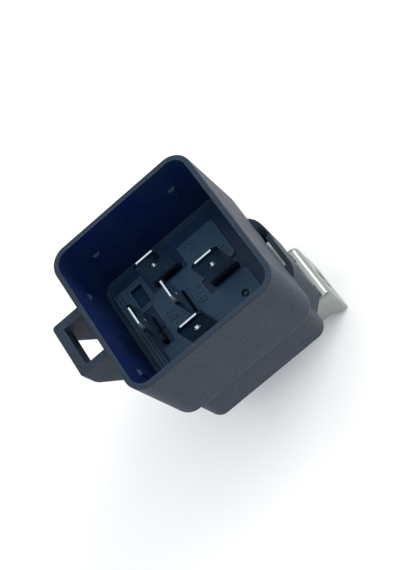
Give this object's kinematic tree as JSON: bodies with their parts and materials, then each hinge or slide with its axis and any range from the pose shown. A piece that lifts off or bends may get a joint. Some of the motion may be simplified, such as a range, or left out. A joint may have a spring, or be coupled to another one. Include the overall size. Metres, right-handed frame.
{
  "type": "automotive relay",
  "caption": "Plug-in changeover relay with upright blade terminals in a sealing skirt, a side latch loop and a bent steel mounting bracket.",
  "frame": {"origin": "centre of the terminal face, the base plate's outer face that the blades stand on", "axes": "+Z out of the connector mouth along the blades, +X towards the mounting bracket, +Y completes a right-handed frame"},
  "size_m": [0.0435, 0.0352, 0.0549],
  "materials": {
    "cover_plastic": "fine matt moulded black",
    "base_plastic": "matt moulded blue-black",
    "vent_plastic": "matt moulded grey",
    "bobbin_plastic": "natural nylon",
    "zinc_steel": "bright zinc plate",
    "tinned_brass": "bright tin plate",
    "soft_iron": "nickel plated soft iron",
    "copper_wire": "enamelled copper",
    "resistor_body": "lacquered ceramic",
    "spring_bronze": "rolled copper alloy",
    "rivet_brass": "plain brass",
    "contact_silver": "silver alloy"
  },
  "bodies": {
    "housing": {"cover": "cover_plastic", "base_plate": "base_plastic", "terminal_30": "tinned_brass", "terminal_85": "tinned_brass", "terminal_86": "tinned_brass", "terminal_87": "tinned_brass", "terminal_87a": "tinned_brass", "mounting_bracket": "zinc_steel", "yoke": "soft_iron", "core": "soft_iron", "bobbin": "bobbin_plastic", "coil_winding": "copper_wire", "resistor": "resistor_body", "fixed_contact_no": "contact_silver", "fixed_contact_nc": "contact_silver", "vent_plug": "vent_plastic"},
    "armature": {"armature": "soft_iron", "contact_spring": "spring_bronze", "armature_rivets": "rivet_brass", "moving_contact": "contact_silver"}
  },
  "joints": [
    {"name": "armature_hinge", "type": "hinge", "parent": "housing", "child": "armature", "pos_m": [0.0116, 0, -0.0134], "axis": [0, 1, 0], "range_deg": [0, 2.4], "stiffness_Nm_per_rad": 0.02, "springref_deg": -28.65}
  ]
}
